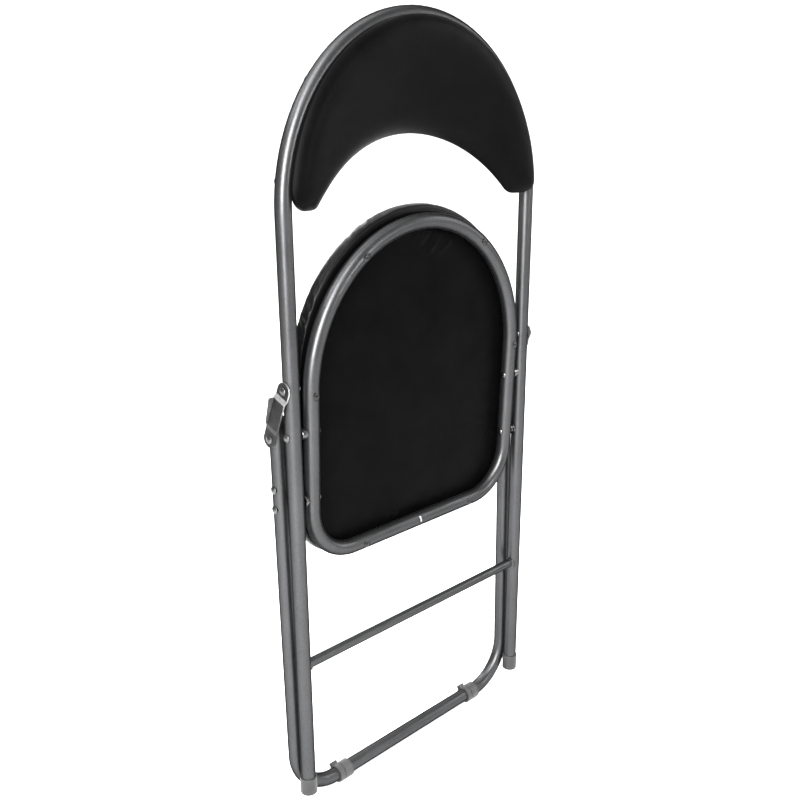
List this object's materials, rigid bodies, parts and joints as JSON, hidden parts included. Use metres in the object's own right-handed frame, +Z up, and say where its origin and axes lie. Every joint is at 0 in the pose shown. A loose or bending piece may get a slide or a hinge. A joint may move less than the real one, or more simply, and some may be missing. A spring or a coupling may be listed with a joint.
{
  "type": "folding chair",
  "caption": "Folding tube-frame chair, stored folded flat, with a crescent back pad, a round-fronted padded seat on a tube ring, a rear U frame and link straps.",
  "frame": {"origin": "floor level under the centre of the folded chair's outer box, standing upright on its rear frame's clips", "axes": "+X to the chair's width, -Y the side that the sitter's back and the back pad face, +Z up along the main legs"},
  "size_m": [0.4542, 0.0626, 0.9745],
  "materials": {
    "silver_paint": "satin silver paint",
    "zinc": "bright zinc plating",
    "grey_plastic": "moulded plastic",
    "light_plastic": "moulded plastic",
    "black_plastic": "moulded plastic",
    "plywood": "raw board",
    "black_vinyl": "soft sheen vinyl"
  },
  "bodies": {
    "main_frame": {"main_frame_tube": "silver_paint", "crossbar": "silver_paint", "crossbar_weld_left": "silver_paint", "crossbar_weld_right": "silver_paint", "foot_cap_left": "grey_plastic", "foot_cap_right": "grey_plastic", "back_pad_board": "plywood", "back_pad_cushion": "black_vinyl", "back_pad_screw_1": "zinc", "back_pad_screw_2": "zinc", "back_pad_screw_3": "zinc", "back_pad_screw_4": "zinc", "seat_pivot_rivet_left": "zinc", "seat_pivot_rivet_right": "zinc", "seat_pivot_spacer_left": "zinc", "seat_pivot_spacer_right": "zinc", "link_upper_rivet_left": "zinc", "link_upper_rivet_right": "zinc"},
    "seat": {"seat_ring_tube": "silver_paint", "seat_joint_sleeve": "silver_paint", "seat_joint_weld": "silver_paint", "seat_board": "plywood", "seat_cushion": "black_vinyl", "seat_bottom_cover": "black_vinyl", "seat_screw_1": "zinc", "seat_screw_2": "zinc", "seat_screw_3": "zinc", "seat_screw_4": "zinc", "seat_screw_5": "zinc", "seat_screw_6": "zinc", "rear_pivot_rivet_left": "zinc", "rear_pivot_rivet_right": "zinc", "rear_pivot_washer_left": "zinc", "rear_pivot_washer_right": "zinc"},
    "rear_frame": {"rear_frame_tube": "silver_paint", "rear_top_plug_left": "black_plastic", "rear_top_plug_right": "black_plastic", "rear_bracket_left": "zinc", "rear_bracket_right": "zinc", "bracket_rivet_left_upper": "zinc", "bracket_rivet_left_lower": "zinc", "bracket_rivet_right_upper": "zinc", "bracket_rivet_right_lower": "zinc", "top_pivot_tail_left": "zinc", "top_pivot_tail_right": "zinc", "rear_foot_clip_left": "light_plastic", "rear_foot_clip_right": "light_plastic"},
    "link_left": {"link_left": "zinc", "link_lower_rivet_left": "zinc"},
    "link_right": {"link_right": "zinc", "link_lower_rivet_right": "zinc"}
  },
  "joints": [
    {"name": "seat_fold", "type": "hinge", "parent": "main_frame", "child": "seat", "pos_m": [0, -0.00914, 0.515], "axis": [1, 0, 0], "range_deg": [0, 112]},
    {"name": "rear_fold", "type": "hinge", "parent": "seat", "child": "rear_frame", "pos_m": [0, -0.00594, 0.4315], "axis": [1, 0, 0], "range_deg": [-70, 0]},
    {"name": "link_fold_left", "type": "hinge", "parent": "main_frame", "child": "link_left", "pos_m": [0, -0.00914, 0.57], "axis": [1, 0, 0], "range_deg": [0, 117.5]},
    {"name": "link_fold_right", "type": "hinge", "parent": "main_frame", "child": "link_right", "pos_m": [0, -0.00914, 0.57], "axis": [1, 0, 0], "range_deg": [0, 117.5]}
  ],
  "couplings": [
    {"joint": "rear_fold", "follows": "seat_fold", "ratio": -0.6234},
    {"joint": "link_fold_left", "follows": "seat_fold", "ratio": 1.0484},
    {"joint": "link_fold_right", "follows": "seat_fold", "ratio": 1.0484}
  ]
}
